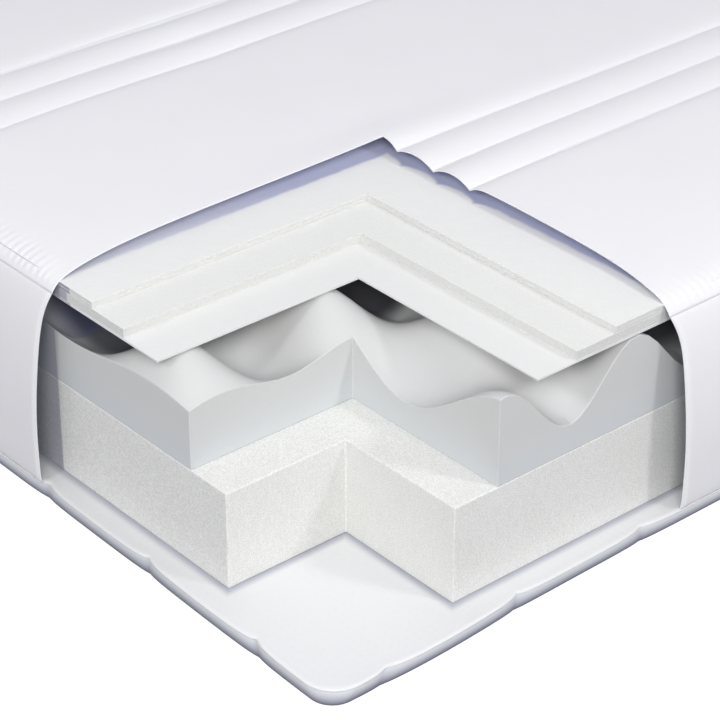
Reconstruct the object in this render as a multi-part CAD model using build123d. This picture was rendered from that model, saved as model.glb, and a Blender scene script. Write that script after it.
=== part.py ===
from build123d import *
import math
import os

# Memory foam mattress, 140 x 190 cm, with the corner at +X -Y cut back in square steps to show its layers.
# Millimetres. +X runs along the length, +Y across the width, +Z up; the origin is the centre of the base.

# Whole mattress
LENGTH = 1900.0
WIDTH = 1400.0
CORNER_R = 28.0

# Base panel: a fabric tray filled with wadding, with a lining over both
BASE_FABRIC_T = 1.0
BASE_WADDING_T = 10.0
BASE_LINING_T = 1.0

# Foam and sheets, from the base up
FOAM_INSET = 31.0
FOAM_CORNER_R = 27.0
BASE_FOAM_T = 100.0
WAVE_FOAM_T = 90.0
SEPARATOR_T = 1.0
SCRIM_T = 1.0
MEMORY_T = 9.0
FELT_T = 3.5
BACKING_T = 1.0

# Cover: a knitted skin that bulges over the border and rounds over the shoulder
KNIT_T = 2.0
THREAD_T = 0.8
BULGE_Z = 60.0
BULGE_DEPTH = 36.0
BULGE_HEIGHT = 165.0
SEAM_Z = 212.0
TOP_Z = 235.0
SHOULDER_RUN = 11.0
BORDER_LEVELS = (100.0, 140.0, 170.0, 192.0, SEAM_Z)
SHOULDER_STEPS = (3.0, 7.0, 12.0, 20.0, 33.0, 58.0, 128.0)
SKIN_GAP = 0.1

# Steps of the cut corner: how far each layer is cut back along X and along Y, from the cover's outline
BASE_FOAM_STEP = (175.0, 166.0)
WAVE_FOAM_STEP = (224.0, 216.0)
SEPARATOR_STEP = (267.0, 260.0)
MEMORY_STEP = (316.0, 306.0)
FELT_STEP = (363.0, 353.0)
COVER_STEP = (420.0, 422.0)

# Quilting: groups of three seams across the width, which leave two narrow ribs between them
QUILT_FIRST = 346.5
QUILT_PITCH = 398.0
QUILT_GROUPS = 4
RIB_WIDTH = 52.0
SEAMS_PER_GROUP = 3
GROOVE_W = 3.0
GROOVE_DEPTH = 1.0
QUILT_END_INSET = 60.0

# Levels worked out from the thicknesses
TRAY_H = BASE_FABRIC_T + BASE_WADDING_T
BASE_TOP = TRAY_H + BASE_LINING_T
WAVE_BASE = BASE_TOP + BASE_FOAM_T
CREST_Z = WAVE_BASE + WAVE_FOAM_T
SCRIM_BASE = CREST_Z + 2 * SEPARATOR_T
MEMORY_BASE = SCRIM_BASE + SCRIM_T
FELT_BASE = MEMORY_BASE + MEMORY_T
PACK_TOP = FELT_BASE + 2 * FELT_T


def slab(inset, radius, low, high):
    """Rounded rectangle inset from the cover's outline, from one level to another."""
    outline = RectangleRounded(LENGTH - 2 * inset, WIDTH - 2 * inset, radius)
    return extrude(Plane.XY.offset(low) * outline, high - low)


def corner_step(step):
    """Block that removes the corner at +X -Y, as far as the step says."""
    along_x, along_y = step
    spare = 10.0
    block = Box(along_x + spare, along_y + spare, 2 * TOP_Z)
    x = LENGTH / 2 - along_x + (along_x + spare) / 2
    y = -WIDTH / 2 + along_y - (along_y + spare) / 2
    return Pos(x, y, TOP_Z / 2) * block


def layer(low, high, step):
    """Flat foam or sheet layer with its stepped corner."""
    return slab(FOAM_INSET, FOAM_CORNER_R, low, high) - corner_step(step)


def border_inset(level):
    """Inset of the bulging border at a level: a quarter of an ellipse above the widest level."""
    share = max(0.0, level - BULGE_Z) / BULGE_HEIGHT
    return BULGE_DEPTH * (1 - math.sqrt(1 - share**2))


def shoulder_level(beyond_seam):
    """Level of the top panel at a distance inwards from its seam: it climbs fast, then levels out."""
    return SEAM_Z + (TOP_Z - SEAM_Z) * (1 - math.exp(-beyond_seam / SHOULDER_RUN))


def cover_profile():
    """Points (inset, level) of the cover's outside, from the base seam to the flat top."""
    border = [(0.0, BASE_TOP), (0.0, BULGE_Z)] + [(border_inset(z), z) for z in BORDER_LEVELS]
    seam_inset = border_inset(SEAM_Z)
    shoulder = [(seam_inset + d, shoulder_level(d)) for d in SHOULDER_STEPS]
    return border + shoulder


def moved_inwards(points, gap):
    """The same profile, each point moved square to the skin by the gap."""
    moved = []
    last = len(points) - 1
    for i, (inset, level) in enumerate(points):
        before, after = points[max(i - 1, 0)], points[min(i + 1, last)]
        run, rise = after[0] - before[0], after[1] - before[1]
        size = math.hypot(run, rise)
        if i in (0, last):
            run, rise, size = (0.0, 1.0, 1.0) if i == 0 else (1.0, 0.0, 1.0)
        moved.append((inset + gap * rise / size, level - gap * run / size))
    return moved


def cover_body(gap):
    """Solid inside the cover's skin: straight-sided bands between rounded rectangles, gap mm inside the outside."""
    sections = []
    for inset, level in moved_inwards(cover_profile(), gap):
        outline = RectangleRounded(LENGTH - 2 * inset, WIDTH - 2 * inset, CORNER_R - min(gap, KNIT_T))
        sections.append(Plane.XY.offset(level) * outline)
    return loft(sections, ruled=True)


def skin_between(skin, low, high):
    """The part of the cover's skin between two levels, with the cut corner removed."""
    band = Pos(0, 0, (low + high) / 2) * Box(2 * LENGTH, 2 * WIDTH, high - low)
    return (skin & band) - corner_step(COVER_STEP)


def seam_places(group):
    """X places of the three seams of one quilting group, counted from the +X end."""
    middle = LENGTH / 2 - QUILT_FIRST - group * QUILT_PITCH
    return [middle + (i - (SEAMS_PER_GROUP - 1) / 2) * RIB_WIDTH for i in range(SEAMS_PER_GROUP)]


def seam_strips(group, wide, low, high):
    """Three straight strips across the mattress, along one group's seams."""
    strips = Part()
    for x in seam_places(group):
        strip = Box(wide, WIDTH - 2 * QUILT_END_INSET, high - low)
        strips += Pos(x, 0, (low + high) / 2) * strip
    return strips - corner_step(COVER_STEP)


def base_panel_nodes():
    """Base panel: a shallow fabric tray, wadding in it and a lining over both."""
    wadding = slab(BASE_FABRIC_T, CORNER_R - BASE_FABRIC_T, BASE_FABRIC_T, TRAY_H)
    return {
        "base_fabric": slab(0, CORNER_R, 0, TRAY_H) - wadding,
        "base_wadding": wadding,
        "base_lining": slab(0, CORNER_R, TRAY_H, BASE_TOP),
    }


def foam_nodes():
    """Foam blocks and thin sheets of the core, from the base up."""
    return {
        "base_foam": layer(BASE_TOP, WAVE_BASE, BASE_FOAM_STEP),
        "wave_foam": layer(WAVE_BASE, CREST_Z, WAVE_FOAM_STEP),
        "separator_lower": layer(CREST_Z, CREST_Z + SEPARATOR_T, SEPARATOR_STEP),
        "separator_upper": layer(CREST_Z + SEPARATOR_T, SCRIM_BASE, SEPARATOR_STEP),
        "foam_scrim": layer(SCRIM_BASE, MEMORY_BASE, MEMORY_STEP),
        "memory_foam_sheet": layer(MEMORY_BASE, FELT_BASE, MEMORY_STEP),
        "comfort_felt_lower": layer(FELT_BASE, FELT_BASE + FELT_T, FELT_STEP),
        "comfort_felt_upper": layer(FELT_BASE + FELT_T, PACK_TOP, FELT_STEP),
    }


def cover_nodes():
    """Knitted skin in two pieces with a line of thread at each seam, and the fillings under its top."""
    skin = cover_body(0) - cover_body(KNIT_T)
    border_low, border_high = BASE_TOP + THREAD_T, SEAM_Z - THREAD_T / 2
    panel_low = SEAM_Z + THREAD_T / 2
    top_panel = skin_between(skin, panel_low, TOP_Z + 1)
    for group in range(QUILT_GROUPS):
        top_panel -= seam_strips(group, GROOVE_W, TOP_Z - GROOVE_DEPTH, TOP_Z + 1)
    room = cover_body(KNIT_T + SKIN_GAP) - corner_step(COVER_STEP)
    backing_top = PACK_TOP + BACKING_T
    return {
        "cover_border": skin_between(skin, border_low, border_high),
        "cover_top_panel": top_panel,
        "top_seam_thread": skin_between(skin, border_high, panel_low),
        "base_seam_thread": skin_between(skin, BASE_TOP, border_low),
        "top_backing": room & slab(FOAM_INSET, FOAM_CORNER_R, PACK_TOP, backing_top),
        "top_wadding": room & slab(FOAM_INSET, FOAM_CORNER_R, backing_top, TOP_Z),
    }


def quilting_nodes():
    """Thread of each group of quilting seams, lying in the grooves of the top panel."""
    low = TOP_Z - GROOVE_DEPTH
    groups = range(QUILT_GROUPS)
    return {f"quilting_seams_{g + 1}": seam_strips(g, THREAD_T, low, low + THREAD_T) for g in groups}


os.makedirs("parts", exist_ok=True)
nodes = {**base_panel_nodes(), **foam_nodes(), **cover_nodes(), **quilting_nodes()}
for name, shape in nodes.items():
    export_step(shape, f"parts/{name}.step")
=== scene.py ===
"""Memory foam mattress whose corner is cut back in steps, so that its cover, sheets and foam blocks show."""

import logging
import math
from collections.abc import Callable, Sequence
from dataclasses import dataclass
from enum import Enum

import bpy
import numpy as np
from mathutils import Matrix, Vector


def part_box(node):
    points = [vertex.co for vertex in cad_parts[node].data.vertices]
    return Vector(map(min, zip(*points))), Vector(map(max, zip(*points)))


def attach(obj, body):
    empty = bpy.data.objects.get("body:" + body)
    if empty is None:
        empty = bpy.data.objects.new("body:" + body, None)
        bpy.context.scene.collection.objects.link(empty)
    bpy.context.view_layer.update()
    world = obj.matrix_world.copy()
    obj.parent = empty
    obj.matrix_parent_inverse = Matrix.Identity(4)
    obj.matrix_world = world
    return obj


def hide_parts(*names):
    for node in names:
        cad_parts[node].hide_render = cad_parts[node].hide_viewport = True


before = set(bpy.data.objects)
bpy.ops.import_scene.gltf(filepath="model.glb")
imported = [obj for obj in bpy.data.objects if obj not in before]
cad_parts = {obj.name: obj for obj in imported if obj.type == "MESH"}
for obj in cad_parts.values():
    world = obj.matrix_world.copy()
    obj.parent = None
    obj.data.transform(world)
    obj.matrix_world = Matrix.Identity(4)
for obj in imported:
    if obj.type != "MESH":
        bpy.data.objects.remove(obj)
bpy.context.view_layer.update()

LOG = logging.getLogger("mattress")
Array = np.ndarray
Colour = tuple[float, float, float]
Pair = tuple[float, float]
Four = tuple[float, float, float, float]
Sides = tuple[Array, Array]
Surface = Callable[[Array, Array], Array]


# ---------------------------------------------------------------- names

class Slot(Enum):
    """Names of the material slots."""

    COVER = "cover_knit"
    BASE = "base_knit"
    LINING = "base_lining"
    WADDING = "wadding"
    SUPPORT = "support_foam"
    WAVE = "wave_foam"
    MEMORY = "memory_foam"
    FELT = "felt"
    SEPARATOR = "separator"
    SCRIM = "scrim"
    THREAD = "thread"


class Hold(Enum):
    """How a sheet of cloth is held."""

    LAID = "laid"
    STRETCHED = "stretched"


# ---------------------------------------------------------------- shader sums

@dataclass(frozen=True)
class Wire:
    """One output of a shader node; sums in Python add Math nodes to it."""

    graph: "Graph"
    socket: bpy.types.NodeSocket

    def __add__(self, other: "Wire | float") -> "Wire":
        """This plus another value."""
        return self.graph.maths("ADD", self, other)

    def __sub__(self, other: "Wire | float") -> "Wire":
        """This minus another value."""
        return self.graph.maths("SUBTRACT", self, other)

    def __rsub__(self, other: float) -> "Wire":
        """A number minus this."""
        return self.graph.maths("SUBTRACT", other, self)

    def __mul__(self, other: "Wire | float") -> "Wire":
        """This times another value."""
        return self.graph.maths("MULTIPLY", self, other)

    __radd__ = __add__
    __rmul__ = __mul__

    def wave(self) -> "Wire":
        """Sine of this, in radians."""
        return self.graph.maths("SINE", self)

    def size(self) -> "Wire":
        """This without its sign."""
        return self.graph.maths("ABSOLUTE", self)

    def least(self, other: "Wire") -> "Wire":
        """The lesser of this and another."""
        return self.graph.maths("MINIMUM", self, other)

    def most(self, other: "Wire") -> "Wire":
        """The greater of this and another."""
        return self.graph.maths("MAXIMUM", self, other)

    def ramp(self, low: float, high: float) -> "Wire":
        """Smooth step of this, from 0 at the low value to 1 at the high one."""
        return self.graph.add("ShaderNodeMapRange", {"interpolation_type": "SMOOTHSTEP"},
                              {0: self, 1: low, 2: high, 3: 0.0, 4: 1.0})


class Graph:
    """Material or world made of nodes."""

    def __init__(self, owner: bpy.types.Material | bpy.types.World) -> None:
        """Start with no nodes.

        Args:
            owner: The material or the world.
        """
        self.owner = owner
        owner.use_nodes = True
        self.tree = owner.node_tree
        self.tree.nodes.clear()
        self.place = self.coordinates("Object")

    @classmethod
    def material(cls, name: str) -> "Graph":
        """Start an empty material with a name."""
        return cls(bpy.data.materials.new(name))

    def add(self, kind: str, settings: dict[str, object], inputs: dict[int | str, object],
            output: int | str = 0) -> Wire:
        """Add a node of any type.

        Args:
            kind: The node's type.
            settings: Its properties, set first.
            inputs: A value or a wire for each socket.
            output: The output that is wanted.
        Returns:
            That output as a wire.
        """
        node = self.tree.nodes.new(kind)
        for key, value in settings.items():
            setattr(node, key, value)
        for key, value in inputs.items():
            if isinstance(value, Wire):
                self.tree.links.new(value.socket, node.inputs[key])
            else:
                node.inputs[key].default_value = value
        return Wire(self, node.outputs[output])

    def maths(self, operation: str, *values: Wire | float) -> Wire:
        """Add a Math node for the values given."""
        return self.add("ShaderNodeMath", {"operation": operation}, dict(enumerate(values)))

    def coordinates(self, kind: str) -> Wire:
        """One kind of texture coordinates."""
        return self.add("ShaderNodeTexCoord", {}, {}, kind)

    def axes(self, source: Wire | None = None) -> tuple[Wire, Wire, Wire]:
        """Split a place, or the Object coordinates in metres, in X, Y and Z."""
        outputs = self.add("ShaderNodeSeparateXYZ", {}, {0: source or self.place}).socket.node.outputs
        return tuple(Wire(self, outputs[i]) for i in range(3))

    def level(self, low: float, high: float) -> Wire:
        """Smooth step of the height, from 0 at the low level to 1 at the high one."""
        return self.axes()[2].ramp(low, high)

    def facing(self) -> Wire:
        """Upward part of the surface's normal: 1 on a top, 0 on a side and -1 below."""
        return self.axes(self.coordinates("Normal"))[2]

    def upright(self) -> Wire:
        """How upright the surface is: 1 on a cut face and 0 on a level one."""
        return 1 - self.facing().size().ramp(0.3, 0.7)

    def paint_border_shadow(self, colour: Wire, end: float, strength: float | Wire) -> Wire:
        """Paint the shadow that the border casts on what lies deep behind its cut end along X.

        Args:
            colour: Colour of the piece in the open.
            end: X place where the painted shadow begins.
            strength: How strong the painted shadow is, from 0 to 1.
        Returns:
            The darkened colour.
        """
        # Painted shadow: dark blue mixed in where X is below the end place, where the border shades the piece.
        dark = (end - self.axes()[0]).ramp(-0.0015, 0.0015)
        return self.mix(dark * strength, colour, (0.11, 0.12, 0.25))

    def noise(self, scale: float, detail: float = 2.0, stretch: Colour = (1.0, 1.0, 1.0)) -> Wire:
        """Soft noise between 0 and 1.

        Args:
            scale: Lumps to a metre.
            detail: Number of finer layers.
            stretch: How much denser it is along each axis.
        Returns:
            The noise.
        """
        spread = self.add("ShaderNodeVectorMath", {"operation": "MULTIPLY"}, {0: self.place, 1: stretch})
        return self.add("ShaderNodeTexNoise", {}, {"Vector": spread, "Scale": scale, "Detail": detail})

    def mix(self, share: Wire | float, first: Wire | Colour, second: Wire | Colour) -> Wire:
        """Mix two colours; the share is how much of the second one, from 0 to 1."""
        colours = [c if isinstance(c, Wire) else (*c, 1.0) for c in (first, second)]
        return self.add("ShaderNodeMix", {"data_type": "RGBA"}, {0: share, 6: colours[0], 7: colours[1]}, 2)

    def finish(self, colour: Wire, roughness: Wire | float, height: Wire | None, depth: float,
               sheen: float = 0.0, glow: float = 0.0) -> bpy.types.Material:
        """Close the material with a Principled shader.

        Args:
            colour: Base colour.
            roughness: Roughness.
            height: Relief between about 0 and 1, or None.
            depth: Relief in metres at height 1.
            sheen: Weight of the fibres' sheen.
            glow: Strength of its own white light.
        Returns:
            The material.
        """
        inputs = {"Base Color": colour, "Roughness": roughness, "Specular IOR Level": 0.2, "Sheen Weight": sheen,
                  "Sheen Roughness": 0.6}
        if height is not None:
            inputs["Normal"] = self.add("ShaderNodeBump", {}, {"Strength": 1.0, "Distance": depth, "Height": height})
        if glow:
            inputs |= {"Emission Color": (1.0, 1.0, 1.0, 1.0), "Emission Strength": glow}
        self.output("ShaderNodeOutputMaterial", self.add("ShaderNodeBsdfPrincipled", {}, inputs))
        return self.owner

    def output(self, kind: str, shader: Wire) -> None:
        """Join a shader to an output node of a kind."""
        self.tree.links.new(shader.socket, self.tree.nodes.new(kind).inputs[0])


# ---------------------------------------------------------------- finishes

@dataclass(frozen=True)
class Finish:
    """What every finish has: a name, its main colour and a darker one mixed into it."""

    name: str
    colour: Colour
    shade: Colour


@dataclass(frozen=True)
class KnitFinish(Finish):
    """Double-knit cloth: columns of small loops, with faint mottling."""

    loop: float = 0.0024
    course: float = 0.0018
    relief: float = 0.00010
    mottling: float = 0.3
    # foot: colour mixed in towards the bottom, below foot_levels: painted shade.
    foot: Colour | None = None
    foot_levels: Pair = (0.0, 1.0)
    seam: Pair | None = None
    seam_level: float = 0.212
    gather: float = 0.0094

    def gathers(self, graph: Graph) -> Wire:
        """Short gathers square to the top seam: a wavering sine along it, strongest a little way in from it."""
        x, y, level = graph.axes()
        away_x, away_y = self.seam[0] - x.size(), self.seam[1] - y.size()
        waver = graph.noise(34.0, 1.0) * 5.0 + graph.noise(9.0, 1.0) * 9.0
        ripples = []
        for along, away, strength in ((x, away_y, 1.0), (y, away_x, 0.45)):
            wave = (along * (2 * math.pi / self.gather) + waver).wave() * 0.5 + 0.5
            ripples.append(wave * away.ramp(0.001, 0.006) * (1 - away.ramp(0.010, 0.036)) * strength)
        above = level.ramp(self.seam_level, self.seam_level + 0.002)
        return (ripples[0] + ripples[1]) * above * graph.noise(14.0, 1.0).ramp(0.25, 0.7)

    def make(self) -> bpy.types.Material:
        """Loops are the size of a sine across the columns, times a sine along them that bends with the column."""
        graph = Graph.material(self.name)
        u, v, _ = graph.axes(graph.add("ShaderNodeUVMap", {"uv_map": "cloth"}, {}))
        column = (u * (math.pi / self.loop)).wave().size()
        row = (v * (2 * math.pi / self.course) + column * 2.4).wave()
        loops = column * (row * 0.3 + 0.7)
        fibre = graph.noise(1500.0)
        # The grooves between the loops take more of the darker colour: painted shade in the grooves.
        tone = loops * -0.2 + 0.38 + (graph.noise(9.0, 3.0) - 0.5) * self.mottling + (fibre - 0.5) * 0.25
        colour = graph.mix(tone.ramp(0.0, 1.0), self.colour, self.shade)
        height = loops * 0.8 + fibre * 0.35
        # Painted shade towards the bottom: the foot colour takes over below the foot levels.
        if self.foot is not None:
            colour = graph.mix(1 - graph.level(*self.foot_levels), colour, self.foot)
        if self.seam is not None:
            gathers = self.gathers(graph)
            height = height + gathers * 7.0
            # Painted shade of the gathers: the darker colour follows their ripples.
            colour = graph.mix(gathers * 0.10, colour, self.shade)
        return graph.finish(colour, 0.86 + fibre * 0.1, height, self.relief, sheen=0.12)


@dataclass(frozen=True)
class LiningFinish(Finish):
    """Inner face of the cover: cloth that is darker the lower it is, as painted shade deep inside the cover."""

    low: float = 0.205
    high: float = 0.232

    def make(self) -> bpy.types.Material:
        """The colour runs from the near black shade colour at the low level to the main one at the high level: painted
        shade.
        """
        graph = Graph.material(self.name)
        fibre = graph.noise(900.0)
        colour = graph.mix(graph.level(self.low, self.high), self.shade, self.colour)
        return graph.finish(graph.mix(fibre * 0.25, colour, self.shade), 0.9, fibre, 0.0001, sheen=0.1)


@dataclass(frozen=True)
class FoamFinish(Finish):
    """Open-cell foam: small cells and grains in two tones over a faint cloudiness.

    The hollow holds the foam's two outer sides and the two cut edges of the sheets that lie over it; deep under the
    sheets the colour is painted near black, as painted shade.
    """

    cell: float = 0.0016
    strength: float = 0.5
    relief: float = 0.00035
    foot: Colour | None = None
    foot_levels: Pair = (0.0, 1.0)
    hollow: Four | None = None
    hollow_shade_colour: Colour = (0.05, 0.05, 0.065)
    cut_face_shade: Colour | None = None
    shadow_end: float = 0.524

    def hollow_shade(self, graph: Graph) -> Wire:
        """Painted shade: how deep a place of the upper surface lies under the sheets, by their inner corner and at both
        ends.
        """
        x, y, _ = graph.axes()
        right, front, cut_x, cut_y = self.hollow
        corner = (cut_x - x).least(y + cut_y).ramp(-0.008, 0.024)
        left_end = (cut_x - 0.048 - x).ramp(-0.01, 0.03) * (y + front).ramp(0.010, 0.042)
        right_end = (y + (cut_y - 0.07)).ramp(0.0, 0.03) * (right - x).ramp(0.004, 0.04)
        return corner.most(left_end.most(right_end)) * graph.facing().ramp(0.25, 0.5)

    def make(self) -> bpy.types.Material:
        """Grain is the sum of two noises, one of the cells' size and one drawn out downwards."""
        graph = Graph.material(self.name)
        fine = graph.noise(1 / self.cell, 3.0)
        drawn = graph.noise(0.45 / self.cell, 2.0, (1.0, 1.0, 0.35))
        cloud = graph.noise(7.0)
        grain = ((fine - 0.5) * 1.8 + (drawn - 0.5) * 0.3 + (cloud - 0.5) * 0.3) * self.strength + 0.5
        colour = graph.mix(grain.ramp(0.15, 0.85), self.colour, self.shade)
        # Painted shade towards the bottom, in the foot colour.
        if self.foot is not None:
            colour = graph.mix((1 - graph.level(*self.foot_levels)) * 0.45, colour, self.foot)
        # Upright faces, by their normal, are mixed towards the darker cut face colour, speckled by the grain: painted
        # side shade.
        if self.cut_face_shade is not None:
            colour = graph.mix(graph.upright() * (0.55 + (fine - 0.5) * 1.6).ramp(0.0, 1.0), colour, self.cut_face_shade)
        if self.hollow is not None:
            # Painted shade: near black deep under the sheets.
            colour = graph.mix(self.hollow_shade(graph) * 0.92, colour, self.hollow_shade_colour)
        # Painted shadow of the border's cut end on the foam.
        colour = graph.paint_border_shadow(colour, self.shadow_end, 0.42)
        cells = graph.add("ShaderNodeTexVoronoi", {"feature": "F1"}, {"Vector": graph.place, "Scale": 0.8 / self.cell})
        return graph.finish(colour, 0.88 + fine * 0.1, cells * 0.5 + fine * 0.5, self.relief)


@dataclass(frozen=True)
class FleeceFinish(Finish):
    """Felt, fleece or fibre sheet: short crossed fibres and soft lumps.

    A covered sheet is shaded from the cover's two cut edges inwards, with cusps of shade at the quilting seams.
    """

    strength: float = 0.35
    relief: float = 0.00012
    fibre: float = 0.0009
    lumps: float = 60.0
    cut_face_shade: Colour | None = None
    covered: Pair | None = None
    cusps: tuple[float, ...] = ()
    near_tint: Colour = (0.40, 0.42, 0.56)
    deep_tint: Colour = (0.62, 0.64, 0.78)
    shadow_end: float = 0.553

    def cover_shade(self, graph: Graph, lumps: Wire) -> tuple[Wire, Wire]:
        """Where the cover's shade falls, and how deep under it a place lies.

        The shade ends near the cover's edge, and 8 mm further forward by each cusp, where the cover is low: its
        limit falls off as an exponential of the distance to the cusps. It fades towards the border.

        Args:
            graph: The material's nodes.
            lumps: Noise that frays the limit.
        Returns:
            The shade and the depth, both from 0 to 1.
        """
        x, y, _ = graph.axes()
        inside = (self.covered[0] + 0.006 - x).most(y - self.covered[1])
        near = (x - self.cusps[0]).size()
        for cusp in self.cusps[1:]:
            near = near.least((x - cusp).size())
        limit = 0.004 - graph.maths("EXPONENT", near * (-1 / 0.010)) * 0.008 + (lumps - 0.5) * 0.004
        fade = y.ramp(-0.60, -0.34) * 0.6 + 0.4
        return (inside - limit).ramp(-0.004, 0.002) * fade, inside.ramp(0.0, 0.02)

    def make(self) -> bpy.types.Material:
        """Fibres are two noises drawn out along X and along Y, mixed with lumps; covered places are tinted."""
        graph = Graph.material(self.name)
        along, across = (graph.noise(0.5 / self.fibre, 2.0, stretch)
                         for stretch in ((0.25, 1.0, 1.0), (1.0, 0.25, 1.0)))
        lumps = graph.noise(self.lumps, 3.0)
        fibres = along * 0.5 + across * 0.5
        tone = ((fibres - 0.5) * 1.6 + (lumps - 0.5) * 0.6) * self.strength + 0.5
        colour = graph.mix(tone.ramp(0.15, 0.85), self.colour, self.shade)
        # Upright faces, by their normal, are mixed towards the darker cut face colour, speckled by the fibres: painted
        # side shade.
        if self.cut_face_shade is not None:
            colour = graph.mix(graph.upright() * (0.55 + (fibres - 0.5) * 1.2).ramp(0.0, 1.0), colour, self.cut_face_shade)
        if self.covered is not None:
            shade, depth = self.cover_shade(graph, lumps)
            colour = graph.mix(shade, colour, graph.mix(depth, self.near_tint, self.deep_tint))
        # Painted shadow of the border's cut end, on upright faces only.
        colour = graph.paint_border_shadow(colour, self.shadow_end, graph.upright() * 0.6)
        return graph.finish(colour, 0.93, fibres * 0.7 + lumps * 0.3, self.relief, sheen=0.08)


@dataclass(frozen=True)
class DottedFinish(Finish):
    """Smooth lining with a faint grid of woven dots, shaded at the foot of the foam that stands on it."""

    pitch: float = 0.009
    relief: float = 0.0001
    foot_shade: Colour = (0.28, 0.29, 0.36)
    foam_edges: Four = (0.919, 0.669, 0.775, 0.534)

    def by_foam(self, graph: Graph) -> Wire:
        """How near the foam's foot is: 1 at it and 0 at 11 mm, from the largest and least offsets of its edges."""
        x, y, _ = graph.axes()
        right, front, notch_x, notch_y = self.foam_edges
        notch = (x - notch_x).least(-notch_y - y)
        return 1 - (x - right).most(-front - y).most(notch).ramp(0.0, 0.011)

    def make(self) -> bpy.types.Material:
        """Dots stand where the sines across X and Y are both near their peaks."""
        graph = Graph.material(self.name)
        x, y, _ = graph.axes()
        turn = math.pi / self.pitch
        dots = ((x * turn).wave().size() * (y * turn).wave().size()).ramp(0.72, 0.95)
        weave = graph.noise(1300.0)
        tone = dots * 0.3 + (weave - 0.5) * 0.4 + (graph.noise(8.0) - 0.5) * 0.3
        colour = graph.mix(tone.ramp(0.0, 1.0), self.colour, self.shade)
        colour = graph.mix(self.by_foam(graph) * 0.7, colour, self.foot_shade)
        return graph.finish(colour, 0.85, dots * 0.7 + weave * 0.4, self.relief, sheen=0.08)


@dataclass(frozen=True)
class ThreadFinish(Finish):
    """Twisted polyester thread."""

    def make(self) -> bpy.types.Material:
        """Plies show as a fast noise drawn out along the thread."""
        graph = Graph.material(self.name)
        ply = graph.noise(2600.0, 1.0, (1.0, 0.4, 1.0))
        return graph.finish(graph.mix(ply, self.colour, self.shade), 0.7, ply, 0.00008, sheen=0.1)


# ---------------------------------------------------------------- mesh helpers

def make_object(name: str, points: Array, faces: Array, extra_faces: Sequence[Sequence[int]] = (),
                cloth: Array | None = None) -> bpy.types.Object:
    """Put points and four-cornered faces in a mesh object at the origin.

    Args:
        name: Name of the piece.
        points: Places in metres, one row each.
        faces: Point numbers, four to a row.
        extra_faces: Further faces with any number of corners.
        cloth: Cloth coordinates in metres, one row for each point, or None.
    Returns:
        The object.
    """
    mesh = bpy.data.meshes.new(name)
    corner_counts = np.concatenate([np.full(len(faces), 4), [len(f) for f in extra_faces]]).astype(np.int32)
    corners = np.concatenate([np.asarray(faces).ravel(), *[np.asarray(f) for f in extra_faces]]).astype(np.int32)
    starts = np.concatenate([[0], np.cumsum(corner_counts)[:-1]]).astype(np.int32)
    mesh.vertices.add(len(points))
    mesh.vertices.foreach_set("co", np.ascontiguousarray(points, dtype=np.float32).ravel())
    mesh.loops.add(len(corners))
    mesh.loops.foreach_set("vertex_index", corners)
    mesh.polygons.add(len(corner_counts))
    mesh.polygons.foreach_set("loop_start", starts)
    mesh.polygons.foreach_set("use_smooth", np.full(len(corner_counts), True))
    mesh.update(calc_edges=True)
    if cloth is not None:
        layer = mesh.uv_layers.new(name="cloth")
        layer.data.foreach_set("uv", np.ascontiguousarray(cloth[corners], dtype=np.float32).ravel())
    mesh.validate()
    piece = bpy.data.objects.new(name, mesh)
    bpy.context.scene.collection.objects.link(piece)
    return piece


def grid_faces(rows: int, columns: int, closed: bool = False) -> Array:
    """Four-cornered faces of a grid of points stored row by row.

    Args:
        rows: Number of rows.
        columns: Number of points in a row.
        closed: Whether the last column joins the first.
    Returns:
        Point numbers, four to a face.
    """
    numbers = np.arange(rows * columns).reshape(rows, columns)
    if closed:
        numbers = np.concatenate([numbers, numbers[:, :1]], axis=1)
    return np.stack([numbers[:-1, :-1], numbers[:-1, 1:], numbers[1:, 1:], numbers[1:, :-1]], axis=-1).reshape(-1, 4)


def kept_cells(kept: Array) -> Array:
    """Four-cornered faces of the kept cells of a grid of points."""
    return grid_faces(kept.shape[0] + 1, kept.shape[1] + 1)[kept.ravel()]


def flat_at(level: float) -> Surface:
    """Level surface, as a function of X and Y."""
    return lambda x, y: np.full_like(x, level)


def push_out(x: Array, y: Array, distance: Array) -> Sides:
    """Move rows of places square to their run, to its right.

    Args:
        x: Places along X, one row for each run.
        y: Places along Y.
        distance: How far each place moves.
    Returns:
        The moved places.
    """
    along = np.stack([np.gradient(x, axis=1), np.gradient(y, axis=1)], axis=-1)
    along /= np.maximum(np.linalg.norm(along, axis=-1, keepdims=True), 1e-9)
    return x + along[..., 1] * distance, y - along[..., 0] * distance


def thicken(piece: bpy.types.Object, thickness: float, inner: int = 0, rim: int = 0) -> None:
    """Give a sheet its thickness on its inner side.

    Args:
        piece: The sheet.
        thickness: Thickness in metres.
        inner: Material slots to step on for the inner face.
        rim: Material slots to step on for the rim.
    """
    solidify = piece.modifiers.new("thickness", "SOLIDIFY")
    solidify.thickness = thickness
    solidify.offset = -1.0
    solidify.material_offset = inner
    solidify.material_offset_rim = rim


def soften(piece: bpy.types.Object, width: float, segments: int = 2, angle: float = 50.0) -> None:
    """Round the sharp edges of a piece.

    Args:
        piece: The piece.
        width: Width of the rounding in metres.
        segments: Faces across it.
        angle: Least angle of an edge that is rounded, in degrees.
    """
    bevel = piece.modifiers.new("soft edges", "BEVEL")
    bevel.width = width
    bevel.segments = segments
    bevel.limit_method = "ANGLE"
    bevel.angle_limit = math.radians(angle)
    bevel.harden_normals = True


def dress(piece: bpy.types.Object, *materials: bpy.types.Material) -> None:
    """Give a piece its materials, in order."""
    for material in materials:
        piece.data.materials.append(material)


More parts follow.
